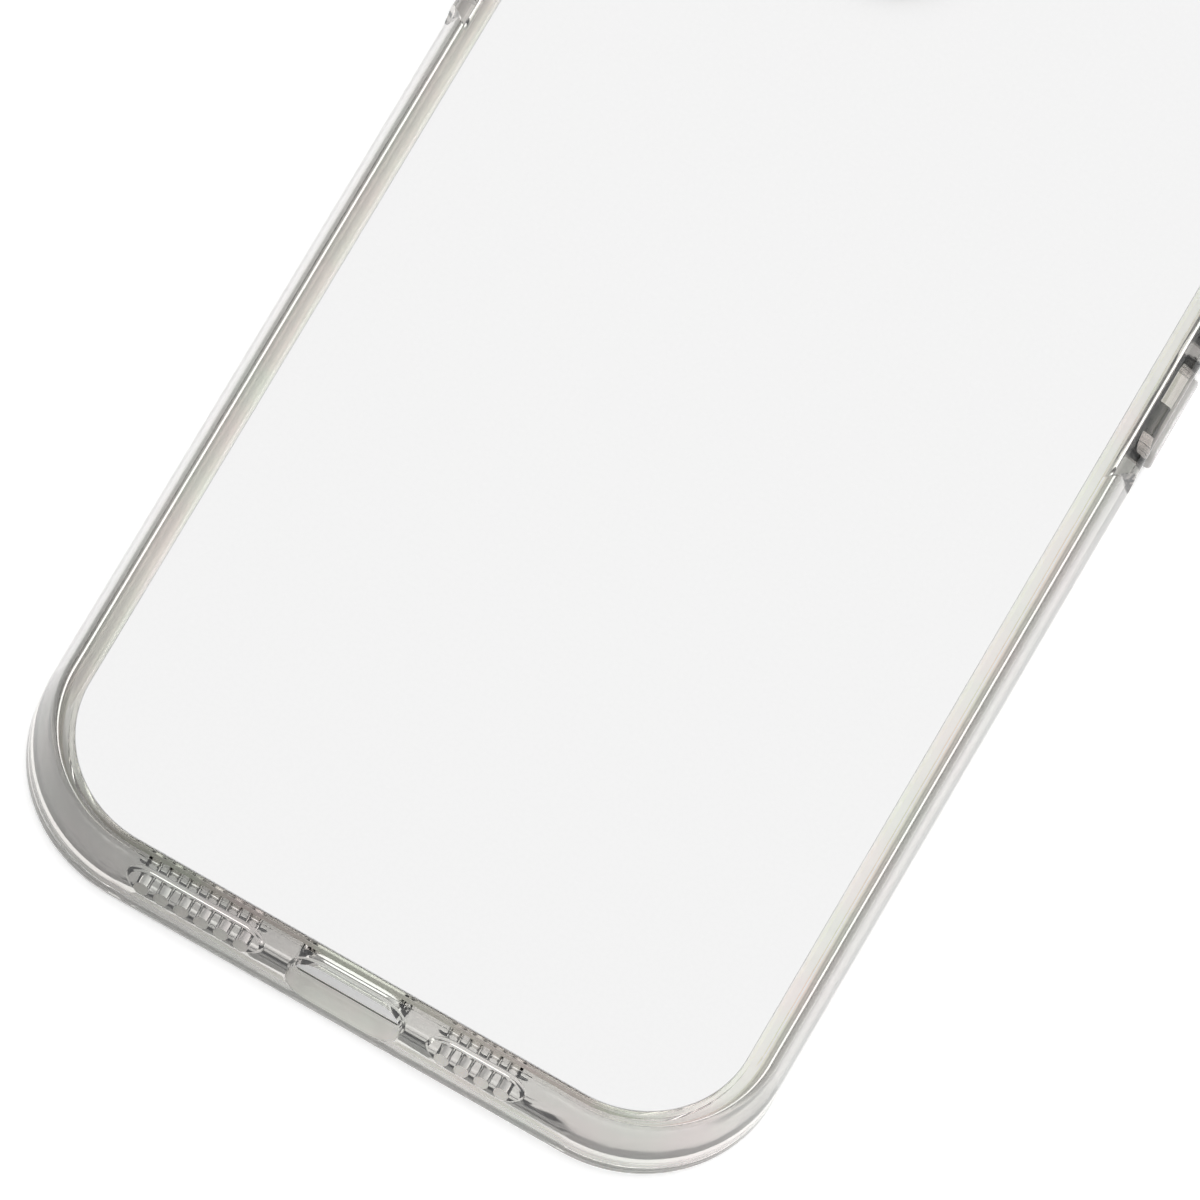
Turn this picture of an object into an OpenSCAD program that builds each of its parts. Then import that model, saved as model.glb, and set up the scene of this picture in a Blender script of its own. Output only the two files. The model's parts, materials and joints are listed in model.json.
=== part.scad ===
// Clear phone case: a soft bumper frame that holds a hard back, with a print sheet,
// a camera rim and three button caps. It lies on its lips with its back upwards.
// The origin is on the lips' plane, at the middle of the case. +Y points to the
// camera end and +X to the side with the volume buttons. All sizes are millimetres.

/* [Phone] */
// Length of the phone
phone_l = 146.7; // [120:0.1:180]
// Width of the phone
phone_w = 71.5; // [60:0.1:90]
// Thickness of the phone's body
phone_t = 7.7; // [6.5:0.1:12]
// Radius of the phone's corners, seen from behind
phone_r = 12.3; // [10:0.1:16]
// Play between the phone and the case, on every side
phone_play = 0.1; // [0:0.05:0.3]

/* [Bumper frame] */
// Thickness of the side walls
wall_t = 1.9; // [1.6:0.1:3]
// Height of the lip in front of the screen
lip_t = 1.0; // [0.6:0.1:2]
// How far the lip reaches in over the screen's border
lip_reach = 1.0; // [0.5:0.1:2]
// Rounding of the outer edge at the back
back_edge_r = 2.0; // [1:0.1:2.5]
// Rounding of the outer edge at the lip
lip_edge_r = 0.7; // [0.3:0.05:0.9]
// Lean of the wall above the parting line, in degrees
wall_draft = 12; // [4:1:12]
// Rounding of the back edge where the wall leans
draft_edge_r = 1.6; // [1:0.1:1.8]
// Rounding inside the pocket where the wall meets the back and the lip
pocket_edge_r = 0.6; // [0.3:0.05:1]

/* [Hard back] */
// Thickness of the hard back panel
panel_t = 0.9; // [0.7:0.05:1.6]
// How far the panel's tongue reaches into the bumper
tongue_reach = 0.4; // [0.3:0.05:0.6]
// Thickness of the panel's tongue
tongue_t = 0.45; // [0.3:0.05:0.6]
// Thickness of the bonded print sheet
sheet_t = 0.3; // [0.2:0.05:0.6]
// Margin from the case's long sides to the panel's face
face_margin_x = 3.65; // [3:0.05:4.2]
// Margin from the case's ends to the panel's face
face_margin_y = 2.05; // [1.9:0.05:3.5]
// Radius of the corners of the panel's face
face_r = 11; // [8:0.5:13]
// Gap round the print sheet
sheet_gap = 0.05; // [0:0.05:0.2]

/* [Camera opening] */
// Width of the opening that the lenses look through
camera_w = 31; // [20:0.5:36]
// Length of the opening
camera_l = 33; // [20:0.5:44]
// Radius of the opening's corners
camera_r = 8.5; // [6:0.5:10]
// Solid back left between the rim's outer edge and the panel's edge
camera_edge = 1.3; // [0.8:0.1:6]
// Thickness of the rim's sleeve in the panel
rim_t = 1.0; // [0.8:0.1:2]
// How far the rim's collar reaches out over the panel
rim_collar = 0.9; // [0.5:0.1:2]
// How far the rim stands proud of the back
rim_rise = 1.2; // [0.5:0.1:3]

/* [Charging port] */
// Width of the port cut-out
port_w = 11.6; // [9:0.1:14]
// Height of the port cut-out
port_h = 5.6; // [4.6:0.1:6.6]

/* [Speaker and microphones] */
// Diameter of each sound hole
hole_d = 1.5; // [0.8:0.1:1.7]
// Distance from one sound hole to the next
hole_pitch = 2.06; // [1.9:0.01:3]
// Number of speaker holes
speaker_holes = 6; // [3:1:7]
// Number of microphone holes
mic_holes = 4; // [2:1:6]
// Middle of the speaker holes, left of the port
speaker_x = 15.7; // [14:0.1:18]
// Middle of the microphone holes, right of the port
mic_x = 13.3; // [12.5:0.1:18]
// Height of the sound recess inside the wall
recess_h = 4.4; // [2.5:0.1:5]
// Depth of the sound recess inside the wall
recess_depth = 0.6; // [0.3:0.05:1]
// Wall left past the end holes, inside the recess
recess_end = 1.0; // [0.9:0.1:1.6]

/* [Side controls] */
// Bottom end of the case to the middle of the volume down button
volume_down_y = 90.5; // [60:0.5:110]
// Volume down button to volume up button
volume_pitch = 13.2; // [12.8:0.1:18]
// Volume up button to the silent switch
switch_pitch = 12.6; // [12:0.1:18]
// Bottom end of the case to the middle of the power button
power_y = 101.0; // [60:0.5:120]
// Length of a volume button cap
volume_l = 9.6; // [7:0.1:10]
// Length of the power button cap
power_l = 16.4; // [10:0.1:22]
// Height of the caps
cap_h = 3.4; // [2.6:0.1:3.6]
// How far the caps stand proud of the wall
cap_rise = 0.6; // [0.3:0.05:1]
// Radius of the crown on a cap's face
cap_crown_r = 4.5; // [3:0.1:10]
// Gap round each cap in its window
cap_gap = 0.2; // [0.1:0.05:0.3]
// Thickness of the flange that keeps a cap in
flange_t = 0.5; // [0.4:0.05:0.6]
// How far the flange reaches past the cap
flange_reach = 0.8; // [0.6:0.05:0.9]
// Wall left outside the flange
shoulder_t = 0.6; // [0.5:0.05:0.8]
// Gap between the flange and that wall
flange_gap = 0.05; // [0.05:0.05:0.1]
// Length of the silent switch cut-out
switch_l = 8.6; // [7:0.1:10]
// Height of the silent switch cut-out
switch_h = 4.8; // [4.6:0.1:5.4]
// Upright wall kept past the end of a window
housing_end = 2.2; // [1.2:0.1:4]

/* [Hidden] */
$fn = 64;
eps = 0.01;

// The pocket that the phone fills, and the case round it
pocket_t = phone_t + phone_play;
pocket_w = phone_w + 2 * phone_play;
pocket_l = phone_l + 2 * phone_play;
case_w = pocket_w + 2 * wall_t;
case_l = pocket_l + 2 * wall_t;
case_r = phone_r + phone_play + wall_t;
panel_z = lip_t + pocket_t;
sheet_z = panel_z + panel_t;
case_h = sheet_z + sheet_t;
middle_z = lip_t + phone_play / 2 + phone_t / 2;
parting_z = 0.4 * case_h;

// The panel's face, which the print sheet covers
face_w = case_w - 2 * face_margin_x;
face_l = case_l - 2 * face_margin_y;

// The camera rim, tucked into the corner over the lenses
rim_w = camera_w + 2 * rim_t;
rim_l = camera_l + 2 * rim_t;
collar_w = rim_w + 2 * rim_collar;
collar_l = rim_l + 2 * rim_collar;
camera_x = -face_w / 2 + camera_edge + collar_w / 2;
camera_y = face_l / 2 - camera_edge - collar_l / 2;

// The bumper's section reaches in past the panel's edge before the panel is cut out
section_reach = max(face_margin_x, face_margin_y, wall_t + lip_reach) + 0.6;

// The button caps and their places, measured from the middle of the case
volume_down_at = volume_down_y - case_l / 2;
volume_up_at = volume_down_at + volume_pitch;
switch_at = volume_up_at + switch_pitch;
power_at = power_y - case_l / 2;
cap_r = cap_h / 2 - 0.3;
flange_r = cap_r + flange_reach;
nub_rise = 0.2;
nub_margin = 0.9;

// A rectangle with round corners, centred on the origin
module rounded_rectangle(length, width, radius) {
  square([length - 2 * radius, width], center = true);
  square([length, width - 2 * radius], center = true);
  for (side = [-1, 1], end = [-1, 1])
    translate([side * (length / 2 - radius), end * (width / 2 - radius)])
      circle(radius);
}

// What is cut off a square corner at the origin, between +X and +Y, to round it
module corner_waste(radius) {
  difference() {
    translate([-1, -1])
      square(radius + 1);
    translate([radius, radius])
      circle(radius);
  }
}

// The bumper's section: x is 0 on the outer face and negative towards the phone
module bumper_section() {
  difference() {
    translate([-section_reach, 0])
      square([section_reach, case_h]);
    mirror([1, 0])
      corner_waste(lip_edge_r);
    translate([0, case_h])
      rotate(180)
        corner_waste(back_edge_r);
    pocket_section();
    translate([-section_reach - 1, -1])
      square([section_reach + 1 - wall_t - lip_reach, lip_t + 2]);
  }
}

// What the draft takes off the section: the wall leans in above the parting line
module draft_section() {
  shoulder_z = case_h - draft_edge_r * (1 - sin(wall_draft));
  shoulder_x = -(shoulder_z - parting_z) * tan(wall_draft);
  crown_x = shoulder_x - draft_edge_r * cos(wall_draft);
  translate([0, parting_z])
    rotate(wall_draft)
      square([2, (shoulder_z - parting_z) / cos(wall_draft)]);
  difference() {
    polygon([[crown_x, case_h], [crown_x, case_h + 1], [2, case_h + 1],
             [shoulder_x + 2 * cos(wall_draft), shoulder_z + 2 * sin(wall_draft)],
             [shoulder_x, shoulder_z]]);
    translate([crown_x, case_h - draft_edge_r])
      circle(draft_edge_r);
  }
}

// The pocket cut out of the section, rounded where the wall meets the lip and the back
module pocket_section() {
  difference() {
    translate([-section_reach - 1, lip_t])
      square([section_reach + 1 - wall_t, pocket_t]);
    for (end = [0, 1])
      translate([-wall_t, lip_t + end * pocket_t])
        mirror([0, end])
          difference() {
            translate([-pocket_edge_r, -1])
              square([pocket_edge_r + 1, pocket_edge_r + 1]);
            translate([-pocket_edge_r, pocket_edge_r])
              circle(pocket_edge_r);
          }
  }
}

// Sweeps a section round a rectangle with round corners, x being 0 on its outer edge
module sweep(length, width, radius) {
  for (side = [0, 1], end = [0, 1])
    mirror([side, 0])
      mirror([0, end])
        translate([width / 2 - radius, length / 2 - radius])
          rotate_extrude(angle = 90)
            translate([radius, 0])
              children();
  for (side = [0, 1])
    rotate(180 * side)
      translate([width / 2, length / 2 - radius])
        rotate([90, 0, 0])
          linear_extrude(length - 2 * radius)
            children();
  for (end = [0, 1])
    rotate(90 + 180 * end)
      translate([length / 2, width / 2 - radius])
        rotate([90, 0, 0])
          linear_extrude(width - 2 * radius)
            children();
}

// A flat plate with round corners, from z up by height
module plate(width, length, radius, z, height) {
  translate([0, 0, z])
    linear_extrude(height)
      rounded_rectangle(width, length, radius);
}

// Stands a shape drawn in x and y up against the +X wall, with z out of the wall
module on_side_wall(y) {
  translate([case_w / 2, y, middle_z])
    rotate([0, 90, 0])
      rotate(90)
        children();
}

// Stands a shape drawn in x and y up against the port end, with z out of the wall
module on_port_wall(x) {
  translate([x, -case_l / 2, middle_z])
    rotate([90, 0, 0])
      children();
}

// A slot with round ends through a wall
module wall_slot(length, height) {
  translate([0, 0, -wall_t - 1])
    linear_extrude(wall_t + 2)
      rounded_rectangle(length, height, height / 2 - eps);
}

// A row of sound holes and the recess behind them
module sound_outlet(count) {
  row_l = (count - 1) * hole_pitch;
  for (i = [0 : count - 1])
    translate([i * hole_pitch - row_l / 2, 0, -wall_t - 1])
      cylinder(h = wall_t + 2, d = hole_d);
  translate([0, 0, -wall_t - 1])
    linear_extrude(1 + recess_depth)
      rounded_rectangle(row_l + hole_d + 2 * recess_end, recess_h, recess_h / 2 - eps);
}

// The window for a cap, with the deeper pocket for its flange and its travel
module cap_window(length) {
  translate([0, 0, -wall_t - 1])
    linear_extrude(wall_t + 2)
      rounded_rectangle(length + 2 * cap_gap, cap_h + 2 * cap_gap, cap_r + cap_gap);
  translate([0, 0, -wall_t - 1])
    linear_extrude(1 + wall_t - shoulder_t)
      rounded_rectangle(length + 2 * (flange_reach + cap_gap),
                        cap_h + 2 * (flange_reach + cap_gap), flange_r + cap_gap);
}

// The stretch of side wall that stays upright round the windows between two places
module housing(from, to) {
  ends = housing_end + flange_reach;
  translate([case_w / 2, 0, 0])
    linear_extrude(case_h + 2)
      polygon([[3, from - ends + 3], [3, to + ends - 3], [-3, to + ends + 3], [-3, from - ends - 3]]);
}

// A button cap: a crowned head, a flange and a nub that meets the phone's own button
module button_cap(length) {
  flange_z = -shoulder_t - flange_gap - flange_t;
  intersection() {
    translate([0, 0, flange_z])
      linear_extrude(cap_rise - flange_z)
        rounded_rectangle(length, cap_h, cap_r);
    translate([-length, 0, cap_rise - cap_crown_r])
      rotate([0, 90, 0])
        cylinder(h = 2 * length, r = cap_crown_r, $fn = 96);
  }
  translate([0, 0, flange_z])
    linear_extrude(flange_t)
      rounded_rectangle(length + 2 * flange_reach, cap_h + 2 * flange_reach, flange_r);
  translate([0, 0, flange_z - nub_rise])
    linear_extrude(nub_rise + eps)
      rounded_rectangle(length - 2 * nub_margin, cap_h - 2 * nub_margin, cap_h / 2 - nub_margin - eps);
}

// The panel's face with its tongue
module panel_body() {
  plate(face_w, face_l, face_r, panel_z, panel_t);
  plate(face_w + 2 * tongue_reach, face_l + 2 * tongue_reach, face_r + tongue_reach,
        panel_z, tongue_t);
}

// The camera rim's section: x is 0 on the collar's outer edge
module rim_section() {
  crown = min(rim_t + rim_collar, rim_rise) / 2;
  difference() {
    translate([-rim_collar - rim_t, sheet_z])
      square([rim_collar + rim_t, sheet_t + rim_rise]);
    translate([0, case_h + rim_rise])
      rotate(180)
        corner_waste(crown);
    translate([-rim_collar - rim_t, case_h + rim_rise])
      mirror([0, 1])
        corner_waste(crown / 2);
  }
  translate([-rim_collar - rim_t, panel_z])
    square([rim_t, panel_t + eps]);
}

module bumper_frame() {
  color([0.93, 0.93, 0.92, 0.45])
    difference() {
      sweep(case_l, case_w, case_r)
        bumper_section();
      difference() {
        sweep(case_l, case_w, case_r)
          draft_section();
        housing(volume_down_at - volume_l / 2, switch_at + switch_l / 2);
        mirror([1, 0, 0])
          housing(power_at - power_l / 2, power_at + power_l / 2);
      }
      panel_body();
      plate(face_w, face_l, face_r, sheet_z - eps, sheet_t + 1);
      on_port_wall(0)
        wall_slot(port_w, port_h);
      on_port_wall(-speaker_x)
        sound_outlet(speaker_holes);
      on_port_wall(mic_x)
        sound_outlet(mic_holes);
      on_side_wall(volume_down_at)
        cap_window(volume_l);
      on_side_wall(volume_up_at)
        cap_window(volume_l);
      on_side_wall(switch_at)
        wall_slot(switch_l, switch_h);
      mirror([1, 0, 0])
        on_side_wall(power_at)
          cap_window(power_l);
    }
}

module back_panel() {
  color([0.94, 0.95, 0.95, 0.5])
    difference() {
      panel_body();
      translate([camera_x, camera_y, 0])
        plate(rim_w, rim_l, camera_r + rim_t, panel_z - 1, panel_t + 2);
    }
}

module print_sheet() {
  color([0.953, 0.953, 0.953])
    difference() {
      plate(face_w - 2 * sheet_gap, face_l - 2 * sheet_gap, face_r - sheet_gap, sheet_z, sheet_t);
      translate([camera_x, camera_y, 0])
        plate(collar_w + 2 * sheet_gap, collar_l + 2 * sheet_gap,
              camera_r + rim_t + rim_collar + sheet_gap, sheet_z - 1, sheet_t + 2);
    }
}

module camera_rim() {
  color([0.93, 0.93, 0.92, 0.6])
    translate([camera_x, camera_y, 0])
      sweep(collar_l, collar_w, camera_r + rim_t + rim_collar)
        rim_section();
}

module power_button() {
  color([0.92, 0.92, 0.91, 0.7])
    mirror([1, 0, 0])
      on_side_wall(power_at)
        button_cap(power_l);
}

module volume_up_button() {
  color([0.92, 0.92, 0.91, 0.7])
    on_side_wall(volume_up_at)
      button_cap(volume_l);
}

module volume_down_button() {
  color([0.92, 0.92, 0.91, 0.7])
    on_side_wall(volume_down_at)
      button_cap(volume_l);
}

bumper_frame();
back_panel();
print_sheet();
camera_rim();
power_button();
volume_up_button();
volume_down_button();
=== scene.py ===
import json
import math

import bmesh
import bpy
from mathutils import Matrix, Vector


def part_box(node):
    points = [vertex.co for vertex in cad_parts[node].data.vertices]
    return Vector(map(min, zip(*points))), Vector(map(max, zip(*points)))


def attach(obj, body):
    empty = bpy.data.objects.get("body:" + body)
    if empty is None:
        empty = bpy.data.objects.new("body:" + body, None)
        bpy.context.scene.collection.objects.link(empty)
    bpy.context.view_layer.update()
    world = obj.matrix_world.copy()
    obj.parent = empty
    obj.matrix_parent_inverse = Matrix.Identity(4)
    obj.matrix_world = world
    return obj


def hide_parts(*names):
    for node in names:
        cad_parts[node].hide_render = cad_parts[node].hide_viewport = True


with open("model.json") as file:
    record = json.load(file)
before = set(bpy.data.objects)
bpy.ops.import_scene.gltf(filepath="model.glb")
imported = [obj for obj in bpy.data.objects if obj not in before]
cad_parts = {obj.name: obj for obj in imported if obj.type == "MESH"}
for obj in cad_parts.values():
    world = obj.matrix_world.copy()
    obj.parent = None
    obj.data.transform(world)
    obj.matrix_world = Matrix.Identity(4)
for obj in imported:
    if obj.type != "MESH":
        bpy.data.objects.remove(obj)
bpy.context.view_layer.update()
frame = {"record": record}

# ---------------------------------------------------------------- Camera
# A long lens over the port end, tipped towards it and turned so that the case
# runs up to the right. It looks at a point on the back, low on the case.
TILT = math.radians(23.85)
LEAN = math.radians(2.33)
ROLL = math.radians(30.7)
DISTANCE = 2.4
SENSOR = 0.036
VIEW_WIDTH = 0.10832                    # what the frame takes in, across the back

case_low, case_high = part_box("bumper_frame")
towards = Vector((math.sin(LEAN), -math.sin(TILT) * math.cos(LEAN),
                  math.cos(TILT) * math.cos(LEAN)))
right = Vector((0, 1, 0)).cross(towards).normalized()
up = towards.cross(right)
aim = Vector((0.00162, case_low[1] + 0.04487, case_high[2]))
camera = bpy.data.objects.new("camera", bpy.data.cameras.new("camera"))
camera.data.sensor_width = SENSOR * 1000
camera.data.lens = SENSOR * 1000 * DISTANCE / VIEW_WIDTH
camera.data.clip_start, camera.data.clip_end = 0.05, 20
turned = Matrix((math.cos(ROLL) * right + math.sin(ROLL) * up,
                 math.cos(ROLL) * up - math.sin(ROLL) * right,
                 towards)).transposed()
camera.matrix_world = Matrix.Translation(aim + DISTANCE * towards) @ turned.to_4x4()
bpy.context.collection.objects.link(camera)
bpy.context.scene.camera = camera
bpy.context.scene.view_settings.view_transform = "Standard"


# ---------------------------------------------------------------- Floor and light
# A light table of white opal acrylic under the case, which leaves no shadow, and
# a pale room. The room is darker low down and in front of the port end. A card
# with painted shade in its colour and glow lies under the case, darkest at the
# speaker's corner and grey at the sides, so that the clear edges have painted shade to bend.
FLOOR_SIDE = 8.0
TABLE_GLOW = 0.5
CARD_IN, CARD_CORNER = 0.0002, 0.0141
# Painted shade on the card under the case: its darkest level, its full level and the grey at its sides.
CARD_SHADE_DARKEST, CARD_MID, CARD_SIDE_SHADE = 0.33, 1.0, 0.58
ZENITH, HORIZON, FRONT = "#FFFFFF", "#8C8B89", "#2A2929"


def linear(colour):
    """An sRGB hex colour as the linear values that a shader takes."""
    parts = [int(colour[i:i + 2], 16) / 255 for i in (1, 3, 5)]
    return [p / 12.92 if p <= 0.04045 else ((p + 0.055) / 1.055) ** 2.4 for p in parts] + [1.0]


def add(tree, kind, links=None, values=None, **settings):
    """Adds a node with its settings, its constant values and the links into it."""
    made = tree.nodes.new(kind)
    for name, value in settings.items():
        setattr(made, name, value)
    for name, value in (values or {}).items():
        made.inputs[name].default_value = value
    for name, source in (links or {}).items():
        tree.links.new(source, made.inputs[name])
    return made


def link(name, mesh):
    made = bpy.data.objects.new(name, mesh)
    bpy.context.collection.objects.link(made)
    return made


def arc(x, z, radius, start, end, steps=10):
    """Points on a round edge about (x, z), from one angle to another in degrees."""
    angles = [math.radians(start + (end - start) * i / steps) for i in range(steps + 1)]
    return [(x + radius * math.cos(a), z + radius * math.sin(a)) for a in angles]


def round_rectangle(length, height, radius, steps=10):
    """The outline of a rectangle with round corners, centred on the origin."""
    x, y = length / 2 - radius, height / 2 - radius
    points = []
    for turn, (cx, cy) in enumerate(((x, y), (-x, y), (-x, -y), (x, -y))):
        points += arc(cx, cy, radius, 90 * turn, 90 * turn + 90, steps)
    return points


def lit_acrylic(name, tone):
    """White opal acrylic, lit softly from below: matt, even and without a shadow, unless a tone paints shade into
    it.
    """
    made = bpy.data.materials.new(name)
    made.use_nodes = True
    tree = made.node_tree
    tree.nodes.clear()
    skin = add(tree, "ShaderNodeBsdfDiffuse", values={"Color": linear("#F4F4F4")})
    glow = add(tree, "ShaderNodeEmission", values={"Color": linear("#FFFFFF"), "Strength": TABLE_GLOW})
    # A tone paints shade into the colour and the glow alike.
    if tone:
        shade = tone(tree)
        tree.links.new(shade, skin.inputs["Color"])
        tree.links.new(shade, glow.inputs["Color"])
    both = add(tree, "ShaderNodeAddShader", {0: skin.outputs[0], 1: glow.outputs[0]})
    add(tree, "ShaderNodeOutputMaterial", {"Surface": both.outputs[0]})
    return made


def card_painted_shade(tree):
    """Painted shade under the case: darkest at the speaker's corner, lighter along the port end and past it, grey
    at the sides.
    """
    where = add(tree, "ShaderNodeTexCoord").outputs["Object"]
    at = add(tree, "ShaderNodeSeparateXYZ", {"Vector": where})
    along = add(tree, "ShaderNodeMapRange", {"Value": at.outputs["X"]},
                {"From Min": -0.037, "From Max": 0.010, "To Min": CARD_SHADE_DARKEST, "To Max": CARD_MID})
    port_end = add(tree, "ShaderNodeMapRange", {"Value": at.outputs["Y"]},
                   {"From Min": -0.070, "From Max": -0.045})
    tone = add(tree, "ShaderNodeMix", {0: port_end.outputs["Result"], 2: along.outputs["Result"]}, {3: 1.0},
               data_type="FLOAT")
    off_middle = add(tree, "ShaderNodeMath", {0: at.outputs["X"]}, operation="ABSOLUTE")
    # Painted shade: the card turns grey under the side walls.
    side = add(tree, "ShaderNodeMapRange", {"Value": off_middle.outputs[0]},
               {"From Min": 0.0352, "From Max": 0.0364, "To Min": 1.0, "To Max": CARD_SIDE_SHADE})
    both = add(tree, "ShaderNodeMath", {0: tone.outputs[0], 1: side.outputs["Result"]}, operation="MULTIPLY")
    return both.outputs[0]


def flat_piece(name, outline, z, material):
    mesh = bpy.data.meshes.new(name)
    mesh.from_pydata([(x, y, z) for x, y in outline], [], [range(len(outline))])
    mesh.materials.append(material)
    made = link(name, mesh)


half = FLOOR_SIDE / 2
flat_piece("floor", [(-half, -half), (half, -half), (half, half), (-half, half)],
           case_low[2] - 0.00005, lit_acrylic("opal_acrylic_lit_matt", None))
# The card under the case carries painted shade in its colour and glow.
flat_piece("graded_card", round_rectangle(case_high[0] - case_low[0] - 2 * CARD_IN,
                                          case_high[1] - case_low[1] - 2 * CARD_IN, CARD_CORNER),
           case_low[2] - 0.00003, lit_acrylic("graded_card_matt", card_painted_shade))

world = bpy.data.worlds.new("pale_room")
bpy.context.scene.world = world
world.use_nodes = True
sky = world.node_tree
sky.nodes.clear()
where = add(sky, "ShaderNodeTexCoord")
axes = add(sky, "ShaderNodeSeparateXYZ", {"Vector": where.outputs["Generated"]})
walls = add(sky, "ShaderNodeValToRGB", {"Fac": axes.outputs["Z"]})
walls.color_ramp.interpolation = "EASE"
walls.color_ramp.elements[0].position = 0.05
walls.color_ramp.elements[0].color = linear(HORIZON)
walls.color_ramp.elements[1].position = 0.45
walls.color_ramp.elements[1].color = linear(ZENITH)
port_side = add(sky, "ShaderNodeVectorMath", {0: where.outputs["Generated"]}, {1: (0.3, 0.95, 0.0)},
                operation="DOT_PRODUCT")
front = add(sky, "ShaderNodeMapRange", {"Value": port_side.outputs["Value"]}, {"From Min": -1.0, "From Max": 0.2})
shade = add(sky, "ShaderNodeValToRGB", {"Fac": front.outputs["Result"]})
shade.color_ramp.elements[0].position = 0.1
shade.color_ramp.elements[0].color = linear(FRONT)
shade.color_ramp.elements[1].position = 1.0
shade.color_ramp.elements[1].color = linear("#FFFFFF")
room = add(sky, "ShaderNodeMix", {"A": walls.outputs["Color"], "B": shade.outputs["Color"]},
           {"Factor": 1.0}, data_type="RGBA", blend_type="MULTIPLY")
light = add(sky, "ShaderNodeBackground", {"Color": room.outputs["Result"]}, {"Strength": 1.0})
add(sky, "ShaderNodeOutputWorld", {"Surface": light.outputs[0]})


def softbox(name, place, size, power):
    """A square softbox that faces the case."""
    lamp = bpy.data.lights.new(name, "AREA")
    lamp.shape = "SQUARE"
    lamp.size, lamp.energy = size, power
    made = bpy.data.objects.new(name, lamp)
    made.location = place
    made.rotation_euler = (-Vector(place)).to_track_quat("-Z", "Y").to_euler()
    bpy.context.collection.objects.link(made)


softbox("softbox_over", (0.0, 0.1, 1.2), 1.2, 6.6)

# ---------------------------------------------------------------- Bumper frame
# One soft clear TPU moulding: four walls with a raised lip over the screen's
# edge, and a rim that holds the hard back. Sizes are in metres.
WALL = 0.0019
LIP, LIP_REACH = 0.0010, 0.0010
BACK_EDGE, LIP_EDGE, POCKET_EDGE, SOFT_EDGE = 0.0020, 0.0007, 0.0006, 0.00025
PARTING_Z, DRAFT, DRAFT_EDGE = 0.0040, 12.0, 0.0016
HOUSING_END = 0.0030
TONGUE, TONGUE_T, FACE_CORNER = 0.0004, 0.00045, 0.011
CORNER = 0.0143
CORNER_STEPS = 40
SECTION_REACH = 0.0042
PORT_W, PORT_H = 0.0116, 0.0056
HOLE, HOLE_PITCH = 0.0015, 0.00206
RECESS_H, RECESS_DEPTH, RECESS_END = 0.0044, 0.0006, 0.0010
SPEAKER_X, MIC_X = -0.0157, 0.0133
SPEAKER_HOLES, MIC_HOLES = 6, 4
SWITCH_L, SWITCH_H = 0.0086, 0.0048
CAP_GAP, SHOULDER, FLANGE_REACH = 0.0002, 0.0006, 0.0008
MOUTH = 0.0003

case_w = case_high[0] - case_low[0]
case_l = case_high[1] - case_low[1]
case_h = case_high[2]
panel_low, panel_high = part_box("back_panel")
openings = {o["name"]: o["box_m"] for o in frame["record"]["physics"]["openings"]}
middle_z = (openings["charging_port"][0][2] + openings["charging_port"][1][2]) / 2
switch_y = (openings["switch_opening"][0][1] + openings["switch_opening"][1][1]) / 2


def bumper_section():
    """The frame's section: x is 0 on the outer face and negative towards the phone."""
    lip_x = -WALL - LIP_REACH
    ceiling = panel_low[2]
    points = arc(-LIP_EDGE, LIP_EDGE, LIP_EDGE, -90, 0)
    points += arc(-BACK_EDGE, case_h - BACK_EDGE, BACK_EDGE, 0, 90, 18)
    points += [(-SECTION_REACH, case_h), (-SECTION_REACH, ceiling)]
    points += arc(-WALL - POCKET_EDGE, ceiling - POCKET_EDGE, POCKET_EDGE, 90, 0)
    points += arc(-WALL - POCKET_EDGE, LIP + POCKET_EDGE, POCKET_EDGE, 0, -90)
    points += arc(lip_x + SOFT_EDGE, LIP - SOFT_EDGE, SOFT_EDGE, 90, 180, 6)
    points += arc(lip_x + SOFT_EDGE, SOFT_EDGE, SOFT_EDGE, 180, 270, 6)
    return points


def draft_section():
    """What the draft takes off the section: the wall leans in above the parting line."""
    lean = math.radians(DRAFT)
    shoulder = case_h - DRAFT_EDGE * (1 - math.sin(lean))
    crown = -(shoulder - PARTING_Z) * math.tan(lean) - DRAFT_EDGE * math.cos(lean)
    return [(0, PARTING_Z), (0.002, PARTING_Z), (0.002, case_h + 0.001), (crown, case_h + 0.001),
            *arc(crown, case_h - DRAFT_EDGE, DRAFT_EDGE, 90, DRAFT, 18)]


def loop_object(name, points):
    """A closed outline as a mesh of edges. Curve to Mesh turns its y into -z."""
    mesh = bpy.data.meshes.new(name)
    count = len(points)
    mesh.from_pydata([(x, -z, 0) for x, z in points], [(i, (i + 1) % count) for i in range(count)], [])
    return link(name, mesh)


def loft(rings):
    """A closed solid through outlines of equally many points, each [(x, y, z), ...]."""
    mesh = bmesh.new()
    rows = [[mesh.verts.new(p) for p in ring] for ring in rings]
    count = len(rows[0])
    for low, high in zip(rows, rows[1:]):
        for i in range(count):
            j = (i + 1) % count
            mesh.faces.new((low[i], low[j], high[j], high[i]))
    mesh.faces.new(rows[0][::-1])
    mesh.faces.new(rows[-1])
    bmesh.ops.remove_doubles(mesh, verts=mesh.verts, dist=1e-7)
    bmesh.ops.recalc_face_normals(mesh, faces=mesh.faces)
    return mesh


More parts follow.
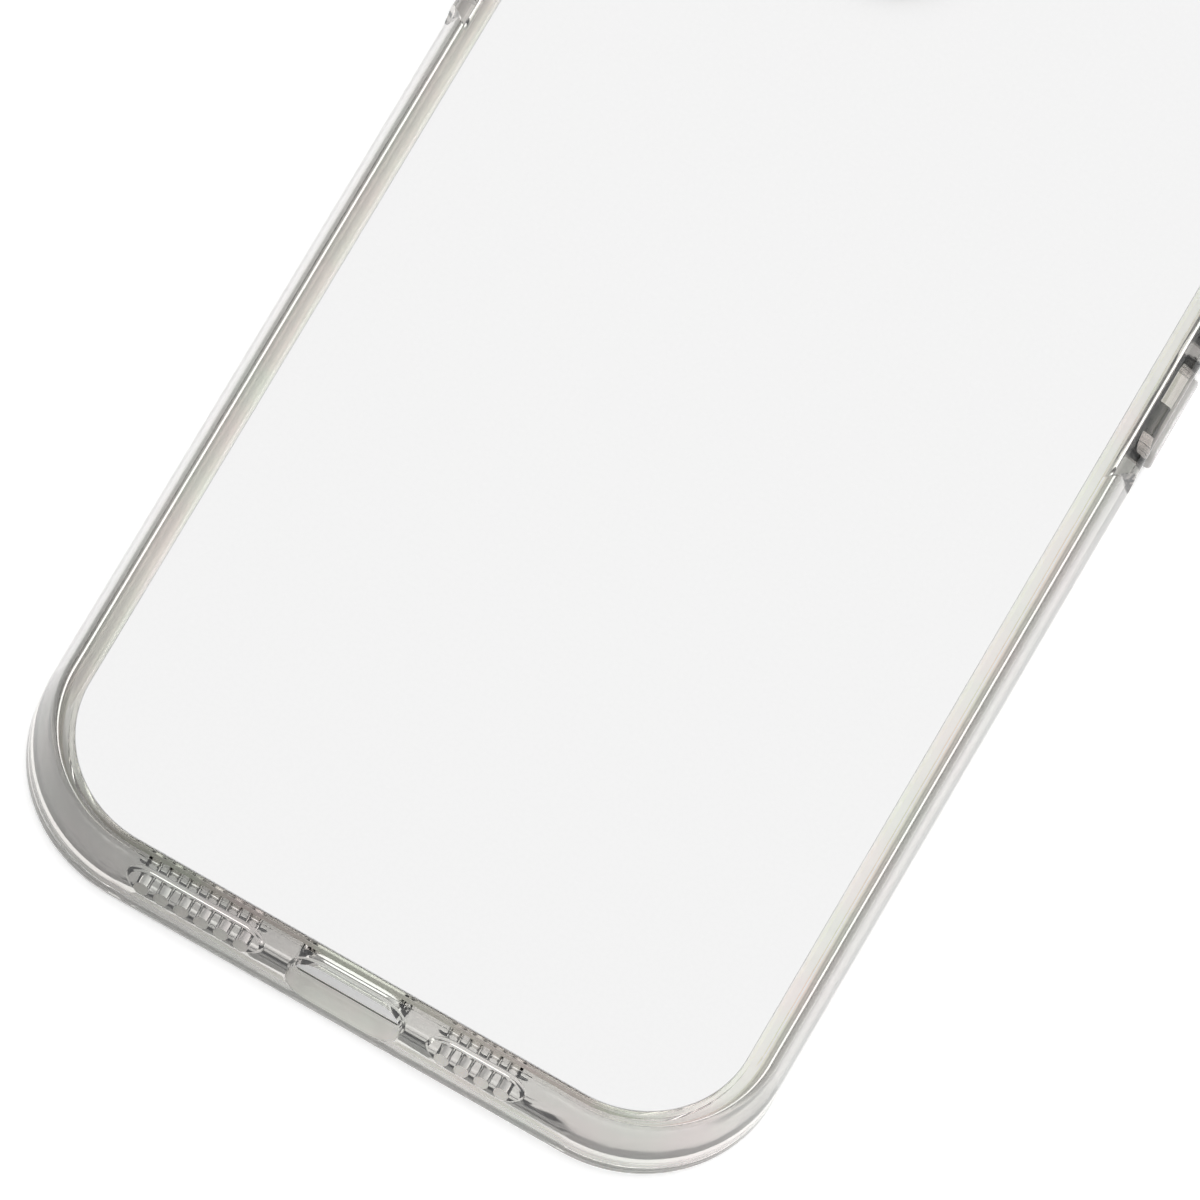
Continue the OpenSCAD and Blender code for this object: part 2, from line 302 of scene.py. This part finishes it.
def mouth(length, height, radius, low, high, flare_low, flare_high, steps=10):
    """Outlines of a cut-out from z low to z high, its edges rounded where it meets a face."""
    rings = []

    def ring(z, grown):
        rings.append([(x, y, z) for x, y in
                      round_rectangle(length + 2 * grown, height + 2 * grown, radius + grown, steps)])

    past = 0.0006
    if flare_low:
        ring(low - past, flare_low)
        for i in range(6):
            a = math.radians(90 * i / 5)
            ring(low + flare_low * (1 - math.cos(a)), flare_low * (1 - math.sin(a)))
    else:
        ring(low - past, 0)
    if flare_high:
        for i in range(6):
            a = math.radians(90 - 90 * i / 5)
            ring(high - flare_high * (1 - math.cos(a)), flare_high * (1 - math.sin(a)))
        ring(high + past, flare_high)
    else:
        ring(high + past, 0)
    return rings


def place(mesh, matrix, name):
    """A cutter's mesh, put where it cuts."""
    made = bpy.data.meshes.new(name)
    mesh.transform(matrix)
    bmesh.ops.recalc_face_normals(mesh, faces=mesh.faces)
    mesh.to_mesh(made)
    mesh.free()
    return link(name, made)


# x and y of a cutter lie in the wall and z points out of it
port_wall = Matrix.Translation((0, case_low[1], middle_z)) @ Matrix.Rotation(math.pi / 2, 4, "X")
side_turn = Matrix.Rotation(math.pi / 2, 4, "Y") @ Matrix.Rotation(math.pi / 2, 4, "Z")
volume_wall = Matrix.Translation((case_high[0], 0, middle_z)) @ side_turn
power_wall = Matrix.Rotation(math.pi, 4, "Z") @ volume_wall


def hole_row(count, name):
    """A row of sound holes, instanced along a line by Geometry Nodes."""
    hole = link("hole", bpy.data.meshes.new("hole"))
    shape = loft(mouth(HOLE, HOLE, HOLE / 2 - 1e-6, -WALL, 0, 0.00015, 0.0002, 6))
    shape.to_mesh(hole.data)
    shape.free()
    tree = bpy.data.node_groups.new("sound_hole_row", "GeometryNodeTree")
    for socket, kind in (("Hole", "NodeSocketObject"), ("Count", "NodeSocketInt"),
                         ("Pitch", "NodeSocketFloat")):
        tree.interface.new_socket(socket, in_out="INPUT", socket_type=kind)
    tree.interface.new_socket("Geometry", in_out="OUTPUT", socket_type="NodeSocketGeometry")
    given = add(tree, "NodeGroupInput").outputs
    gaps = add(tree, "ShaderNodeMath", {0: given["Count"]}, {1: -1.0}, operation="ADD")
    half_row = add(tree, "ShaderNodeMath", {0: gaps.outputs[0], 1: given["Pitch"]}, operation="MULTIPLY")
    first = add(tree, "ShaderNodeMath", {0: half_row.outputs[0]}, {1: -0.5}, operation="MULTIPLY")
    start = add(tree, "ShaderNodeCombineXYZ", {"X": first.outputs[0]})
    step = add(tree, "ShaderNodeCombineXYZ", {"X": given["Pitch"]})
    line = add(tree, "GeometryNodeMeshLine", {"Count": given["Count"], "Start Location": start.outputs[0],
                                              "Offset": step.outputs[0]})
    shape = add(tree, "GeometryNodeObjectInfo", {"Object": given["Hole"]})
    row = add(tree, "GeometryNodeInstanceOnPoints", {"Points": line.outputs[0],
                                                     "Instance": shape.outputs["Geometry"]})
    real = add(tree, "GeometryNodeRealizeInstances", {"Geometry": row.outputs[0]})
    add(tree, "NodeGroupOutput", {0: real.outputs[0]})
    made = evaluate(name, tree, {"Hole": hole, "Count": count, "Pitch": HOLE_PITCH})
    bpy.data.objects.remove(hole)
    return made


def evaluate(name, tree, values):
    """Runs a Geometry Nodes tree with named inputs and keeps its result as a plain mesh."""
    base = link(name, bpy.data.meshes.new(name))
    modifier = base.modifiers.new("nodes", "NODES")
    modifier.node_group = tree
    for item in tree.interface.items_tree:
        if item.in_out == "INPUT" and item.name in values:
            modifier[item.identifier] = values[item.name]
    graph = bpy.context.evaluated_depsgraph_get()
    base.data = bpy.data.meshes.new_from_object(base.evaluated_get(graph))
    base.data.name = name
    base.modifiers.clear()
    return base


def moved(piece, matrix):
    piece.data.transform(matrix)
    return piece


def sound_recess(count):
    length = (count - 1) * HOLE_PITCH + HOLE + 2 * RECESS_END
    rings = mouth(length, RECESS_H, RECESS_H / 2 - 1e-6, -WALL, -WALL + RECESS_DEPTH, MOUTH, 0)
    rings[-1] = [(x * 0.97, y * 0.93, -WALL + RECESS_DEPTH) for x, y, _ in rings[-1]]
    rings.insert(-1, [(x, y, -WALL + RECESS_DEPTH * 0.75) for x, y, _ in rings[-2]])
    return loft(rings)


def cap_window(node, wall, name):
    """The window for a cap and the deeper pocket for its flange, from the cap's own box."""
    low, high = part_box(node)
    length = high[1] - low[1] - 2 * FLANGE_REACH + 2 * CAP_GAP
    height = high[2] - low[2] - 2 * FLANGE_REACH + 2 * CAP_GAP
    along = (low[1] + high[1]) / 2
    if wall is power_wall:
        along = -along
    matrix = wall @ Matrix.Translation((along, 0, 0))
    radius = height / 2 - 0.0003
    made = [place(loft(mouth(length, height, radius, -WALL, 0, 0, 0.00015)), matrix, name + "_window")]
    grown = 2 * FLANGE_REACH
    rings = mouth(length + grown, height + grown, radius + FLANGE_REACH, -WALL, -SHOULDER, 0.0002, 0)
    rings[-1] = [(x, y, -SHOULDER) for x, y, _ in rings[-1]]
    made.append(place(loft(rings), matrix, name + "_pocket"))
    return made


def housing(first, last, side):
    """The stretch of side wall that stays upright round the windows between two places."""
    edge, reach = case_high[0], 0.003
    outline = [(edge + reach, first - HOUSING_END + reach), (edge + reach, last + HOUSING_END - reach),
               (edge - reach, last + HOUSING_END + reach), (edge - reach, first - HOUSING_END - reach)]
    if side < 0:
        outline = [(-x, y) for x, y in reversed(outline)]
    return place(loft([[(x, y, z) for x, y in outline] for z in (0.001, case_h + 0.002)]), Matrix(), "housing")


def plate_cutter(grown, low, high, name):
    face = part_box("back_panel")
    width = face[1][0] - face[0][0] - 2 * TONGUE + 2 * grown
    length = face[1][1] - face[0][1] - 2 * TONGUE + 2 * grown
    outline = round_rectangle(width, length, FACE_CORNER + grown, 40)
    return place(loft([[(x, y, z) for x, y in outline] for z in (low, high)]), Matrix(), name)


cutters = [
    plate_cutter(TONGUE, panel_low[2] - 0.00005, panel_low[2] + TONGUE_T, "tongue_seat"),
    plate_cutter(0.0, panel_low[2], case_h + 0.001, "face_seat"),
    place(loft(mouth(PORT_W, PORT_H, PORT_H / 2 - 1e-5, -WALL, 0, MOUTH, MOUTH)), port_wall, "port"),
    moved(hole_row(SPEAKER_HOLES, "speaker_holes"), port_wall @ Matrix.Translation((SPEAKER_X, 0, 0))),
    moved(hole_row(MIC_HOLES, "mic_holes"), port_wall @ Matrix.Translation((MIC_X, 0, 0))),
    place(sound_recess(SPEAKER_HOLES), port_wall @ Matrix.Translation((SPEAKER_X, 0, 0)),
          "speaker_recess"),
    place(sound_recess(MIC_HOLES), port_wall @ Matrix.Translation((MIC_X, 0, 0)), "mic_recess"),
    place(loft(mouth(SWITCH_L, SWITCH_H, SWITCH_H / 2 - 1e-5, -WALL, 0, MOUTH, MOUTH)),
          volume_wall @ Matrix.Translation((switch_y, 0, 0)), "switch"),
    *cap_window("volume_down_button", volume_wall, "volume_down"),
    *cap_window("volume_up_button", volume_wall, "volume_up"),
    *cap_window("power_button", power_wall, "power"),
]


def sweep_tree():
    """Sweeps a section round a rectangle with round corners."""
    tree = bpy.data.node_groups.new("section_sweep", "GeometryNodeTree")
    for socket, kind in (("Section", "NodeSocketObject"), ("Width", "NodeSocketFloat"),
                         ("Length", "NodeSocketFloat"), ("Corner", "NodeSocketFloat"),
                         ("Corner Steps", "NodeSocketInt"), ("Material", "NodeSocketMaterial")):
        tree.interface.new_socket(socket, in_out="INPUT", socket_type=kind)
    tree.interface.new_socket("Geometry", in_out="OUTPUT", socket_type="NodeSocketGeometry")
    given = add(tree, "NodeGroupInput").outputs
    path = add(tree, "GeometryNodeCurvePrimitiveQuadrilateral", {"Width": given["Width"],
                                                                 "Height": given["Length"]})
    round_path = add(tree, "GeometryNodeFilletCurve", {"Curve": path.outputs[0],
                                                       "Count": given["Corner Steps"],
                                                       "Radius": given["Corner"]}, mode="POLY")
    level = add(tree, "GeometryNodeSetCurveNormal", {"Curve": round_path.outputs[0]}, mode="Z_UP")
    section = add(tree, "GeometryNodeObjectInfo", {"Object": given["Section"]})
    outline = add(tree, "GeometryNodeMeshToCurve", {"Mesh": section.outputs["Geometry"]})
    swept = add(tree, "GeometryNodeCurveToMesh", {"Curve": level.outputs[0],
                                                  "Profile Curve": outline.outputs[0]})
    real = add(tree, "GeometryNodeRealizeInstances", {"Geometry": swept.outputs[0]})
    coat = add(tree, "GeometryNodeSetMaterial", {"Geometry": real.outputs[0], "Material": given["Material"]})
    add(tree, "NodeGroupOutput", {0: coat.outputs[0]})
    return tree


def apply_modifiers(piece):
    graph = bpy.context.evaluated_depsgraph_get()
    piece.data = bpy.data.meshes.new_from_object(piece.evaluated_get(graph))
    piece.modifiers.clear()
    return piece


def sweep(name, points, width, length, corner, material):
    """A section swept round a rectangle, as a plain mesh that faces outwards."""
    section = loop_object(name + "_section", points)
    made = evaluate(name, sweeper, {"Section": section, "Width": width, "Length": length,
                                    "Corner": corner, "Corner Steps": CORNER_STEPS,
                                    "Material": material})
    bpy.data.objects.remove(section)
    mesh = bmesh.new()
    mesh.from_mesh(made.data)
    if mesh.calc_volume(signed=True) < 0:
        bmesh.ops.reverse_faces(mesh, faces=mesh.faces)
    mesh.to_mesh(made.data)
    mesh.free()
    return made


def cut(piece, cutters):
    """Takes the cutters out of a piece, one after the other, and removes them."""
    for cutter in cutters:
        modifier = piece.modifiers.new("cut", "BOOLEAN")
        modifier.operation, modifier.solver, modifier.object = "DIFFERENCE", "MANIFOLD", cutter
    apply_modifiers(piece)
    for cutter in cutters:
        bpy.data.objects.remove(cutter)
    return piece


def clear_plastic(name, pink, green, rough_low, rough_high, ior, relief_mm, clarity=1.0):
    """A clear moulded plastic: water-clear with a faint tint that drifts, and flow marks."""
    made = bpy.data.materials.new(name)
    made.use_nodes = True
    tree = made.node_tree
    tree.nodes.clear()
    where = add(tree, "ShaderNodeTexCoord").outputs["Object"]
    flow = add(tree, "ShaderNodeTexNoise", {"Vector": where}, {"Scale": 140.0, "Detail": 3.0})
    skin = add(tree, "ShaderNodeTexNoise", {"Vector": where}, {"Scale": 900.0, "Detail": 2.0})
    tint = add(tree, "ShaderNodeValToRGB", {"Fac": flow.outputs["Fac"]})
    tint.color_ramp.elements[0].position, tint.color_ramp.elements[0].color = 0.35, linear(pink)
    tint.color_ramp.elements[1].position, tint.color_ramp.elements[1].color = 0.65, linear(green)
    rough = add(tree, "ShaderNodeMapRange", {"Value": skin.outputs["Fac"]},
                {"To Min": rough_low, "To Max": rough_high})
    relief = add(tree, "ShaderNodeBump", {"Height": flow.outputs["Fac"]},
                 {"Strength": 0.3, "Distance": relief_mm / 1000})
    shader = add(tree, "ShaderNodeBsdfPrincipled",
                 {"Base Color": tint.outputs["Color"], "Roughness": rough.outputs["Result"],
                  "Normal": relief.outputs["Normal"]},
                 {"Transmission Weight": clarity, "IOR": ior})
    add(tree, "ShaderNodeOutputMaterial", {"Surface": shader.outputs[0]})
    return made


def finish_surface(piece, sharp=32):
    """Smooth shading with crisp edges kept, and flat faces kept flat."""
    mesh = piece.data
    mesh.shade_smooth()
    mesh.set_sharp_from_angle(angle=math.radians(sharp))
    modifier = piece.modifiers.new("weigh", "WEIGHTED_NORMAL")
    modifier.keep_sharp = True
    return apply_modifiers(piece)


sweeper = sweep_tree()
tpu = clear_plastic("clear_tpu_moulded_glossy", "#F0E9E6", "#EAECE5", 0.02, 0.08, 1.5, 0.1)
bumper = sweep("bumper_shell", bumper_section(), case_w, case_l, CORNER, tpu)
volume_low, power_low, power_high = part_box("volume_down_button")[0], *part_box("power_button")
draft = sweep("draft", draft_section(), case_w, case_l, CORNER, tpu)
cut(draft, [housing(volume_low[1] + FLANGE_REACH, switch_y + SWITCH_L / 2, 1),
            housing(power_low[1] + FLANGE_REACH, power_high[1] - FLANGE_REACH, -1)])
cutters.append(draft)
cut(bumper, cutters)
finish_surface(bumper)
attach(bumper, "case")
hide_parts("bumper_frame")

# ---------------------------------------------------------------- Back panel
# A hard clear polycarbonate plate. Its tongue is caught in the soft bumper,
# which is moulded round it.
BOND_GAP = 0.00003
FACE_EDGE = 0.0001

polycarbonate = clear_plastic("clear_polycarbonate_polished", "#F6F7F7", "#F7F7F5", 0.01, 0.03, 1.585, 0.02)
rim_low, rim_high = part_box("camera_rim")
RIM_WALL, RIM_COLLAR, RIM_CORNER = 0.0010, 0.0009, 0.0085
rim_middle = Vector(((rim_low[0] + rim_high[0]) / 2, (rim_low[1] + rim_high[1]) / 2, 0))
rim_w, rim_l = rim_high[0] - rim_low[0], rim_high[1] - rim_low[1]


def shape_object(name, mesh, material):
    made = bpy.data.meshes.new(name)
    mesh.to_mesh(made)
    mesh.free()
    made.materials.append(material)
    return link(name, made)


def plate_rings(levels, width, length, corner):
    """Outlines of a plate: each level is how far it is grown and its height."""
    return [[(x, y, z) for x, y in round_rectangle(width + 2 * grown, length + 2 * grown, corner + grown, 40)]
            for grown, z in levels]


tongue_w, tongue_l = panel_high[0] - panel_low[0], panel_high[1] - panel_low[1]
step_z = panel_low[2] + TONGUE_T
panel = shape_object("back_plate", loft(plate_rings(
    [(-BOND_GAP, panel_low[2]), (-BOND_GAP, step_z - BOND_GAP), (-TONGUE - BOND_GAP, step_z - BOND_GAP),
     (-TONGUE - BOND_GAP, panel_high[2] - FACE_EDGE), (-TONGUE - BOND_GAP - FACE_EDGE, panel_high[2] - BOND_GAP)],
    tongue_w, tongue_l, FACE_CORNER + TONGUE)), polycarbonate)
sleeve_w, sleeve_l = rim_w - 2 * RIM_COLLAR, rim_l - 2 * RIM_COLLAR
hole = place(loft(plate_rings([(BOND_GAP, panel_low[2] - 0.001), (BOND_GAP, panel_high[2] + 0.001)],
                              sleeve_w, sleeve_l, RIM_CORNER + RIM_WALL)),
             Matrix.Translation(rim_middle), "camera_hole")
cut(panel, [hole])
finish_surface(panel)
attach(panel, "case")
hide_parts("back_panel")

# ---------------------------------------------------------------- Print sheet
# The blank that takes the owner's picture: a thin pale grey sheet with a satin
# coat, bonded on the back panel and cut out round the camera rim.
sheet_low, sheet_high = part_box("print_sheet")
SHEET_GAP = 0.00005


def print_blank():
    """Coated print blank: satin pale grey, with a very fine even grain."""
    made = bpy.data.materials.new("coated_print_blank_satin")
    made.use_nodes = True
    tree = made.node_tree
    tree.nodes.clear()
    where = add(tree, "ShaderNodeTexCoord").outputs["Object"]
    grain = add(tree, "ShaderNodeTexNoise", {"Vector": where}, {"Scale": 2500.0, "Detail": 1.0})
    rough = add(tree, "ShaderNodeMapRange", {"Value": grain.outputs["Fac"]}, {"To Min": 0.5, "To Max": 0.6})
    tone = add(tree, "ShaderNodeValToRGB", {"Fac": grain.outputs["Fac"]})
    tone.color_ramp.elements[0].color = linear("#EFEFEF")
    tone.color_ramp.elements[1].color = linear("#F2F2F2")
    shader = add(tree, "ShaderNodeBsdfPrincipled",
                 {"Base Color": tone.outputs["Color"], "Roughness": rough.outputs["Result"]},
                 {"Specular IOR Level": 0.2})
    add(tree, "ShaderNodeOutputMaterial", {"Surface": shader.outputs[0]})
    return made


sheet = shape_object("print_blank", loft(plate_rings(
    [(0, panel_high[2] + BOND_GAP), (0, sheet_high[2] - 0.00008), (-0.00003, sheet_high[2] - 0.00003),
     (-0.00008, sheet_high[2])],
    sheet_high[0] - sheet_low[0], sheet_high[1] - sheet_low[1], FACE_CORNER - SHEET_GAP)), print_blank())
hole = place(loft(plate_rings([(SHEET_GAP, panel_low[2]), (SHEET_GAP, case_h + 0.001)],
                              rim_w, rim_l, RIM_CORNER + RIM_WALL + RIM_COLLAR)),
             Matrix.Translation(rim_middle), "camera_hole")
cut(sheet, [hole])
finish_surface(sheet)
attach(sheet, "case")
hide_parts("print_sheet")

# ---------------------------------------------------------------- Camera rim
# A soft clear ring moulded through the panel round the camera opening. It
# stands proud of the back, so that the lenses never touch the table.


def rim_section():
    """The rim's section: x is 0 on the collar's outer edge."""
    inner = -RIM_COLLAR - RIM_WALL
    outer_r, inner_r = 0.0006, 0.0003
    foot = sheet_low[2] + BOND_GAP
    points = [(-RIM_COLLAR + BOND_GAP, foot), (0, foot)]
    points += arc(-outer_r, rim_high[2] - outer_r, outer_r, 0, 90, 12)
    points += arc(inner + inner_r, rim_high[2] - inner_r, inner_r, 90, 180, 8)
    points += arc(inner + 0.0002, panel_low[2] + 0.0002, 0.0002, 180, 270, 6)
    points += [(-RIM_COLLAR, panel_low[2])]
    return points


rim = sweep("lens_rim", rim_section(), rim_w, rim_l, RIM_CORNER + RIM_WALL + RIM_COLLAR, tpu)
moved(rim, Matrix.Translation(rim_middle))
finish_surface(rim)
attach(rim, "case")
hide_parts("camera_rim")

# ---------------------------------------------------------------- Button caps
# Three clear caps over the phone's own buttons. Each has a crowned head in its
# window, a flange that keeps it in and a nub that presses the phone's button.
CAP_RISE, CROWN = 0.0006, 0.0045
CAP_EDGE = 0.0003
FLANGE_T, FLANGE_GAP, NUB, NUB_MARGIN = 0.0005, 0.00005, 0.0002, 0.0009
CAP_CORNER_LESS = 0.0003

cap_plastic = clear_plastic("clear_cap_moulded_glossy", "#F8F5F3", "#F6F7F3", 0.03, 0.07, 1.5, 0.05, 0.5)


def cap_rings(length, height):
    """Outlines of a cap from its nub out to the middle of its crowned face."""
    corner = height / 2 - CAP_CORNER_LESS
    flange_z = -SHOULDER - FLANGE_GAP - FLANGE_T
    rings = []

    def ring(grown, level, crowned=False):
        outline = round_rectangle(length + 2 * grown, height + 2 * grown, max(corner + grown, 2e-5), 12)
        drop = [CROWN - math.sqrt(CROWN ** 2 - y ** 2) if crowned else 0 for _, y in outline]
        rings.append([(x, y, level - d) for (x, y), d in zip(outline, drop)])

    ring(-NUB_MARGIN - 0.0001, flange_z - NUB)
    ring(-NUB_MARGIN, flange_z - NUB + 0.0001)
    ring(-NUB_MARGIN, flange_z)
    ring(FLANGE_REACH - 0.0001, flange_z)
    ring(FLANGE_REACH, flange_z + 0.0001)
    ring(FLANGE_REACH, -SHOULDER - FLANGE_GAP)
    ring(0, -SHOULDER - FLANGE_GAP)
    ring(0, -0.0002)
    for i in range(7):
        a = math.radians(90 * i / 6)
        ring(-CAP_EDGE * (1 - math.cos(a)), CAP_RISE - CAP_EDGE * (1 - math.sin(a)), True)
    for i in range(1, 8):
        ring(-CAP_EDGE - (height / 2 - CAP_EDGE - 1e-5) * i / 7, CAP_RISE, True)
    return rings


for node, body, wall in (("power_button", "power", power_wall),
                         ("volume_up_button", "volume_up", volume_wall),
                         ("volume_down_button", "volume_down", volume_wall)):
    low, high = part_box(node)
    along = (low[1] + high[1]) / 2 * (-1 if wall is power_wall else 1)
    cap_l = high[1] - low[1] - 2 * FLANGE_REACH
    cap_h = high[2] - low[2] - 2 * FLANGE_REACH
    cap = shape_object(body + "_cap", loft(cap_rings(cap_l, cap_h)), cap_plastic)
    moved(cap, wall @ Matrix.Translation((along, 0, 0)))
    finish_surface(cap)
    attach(cap, body)
    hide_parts(node)
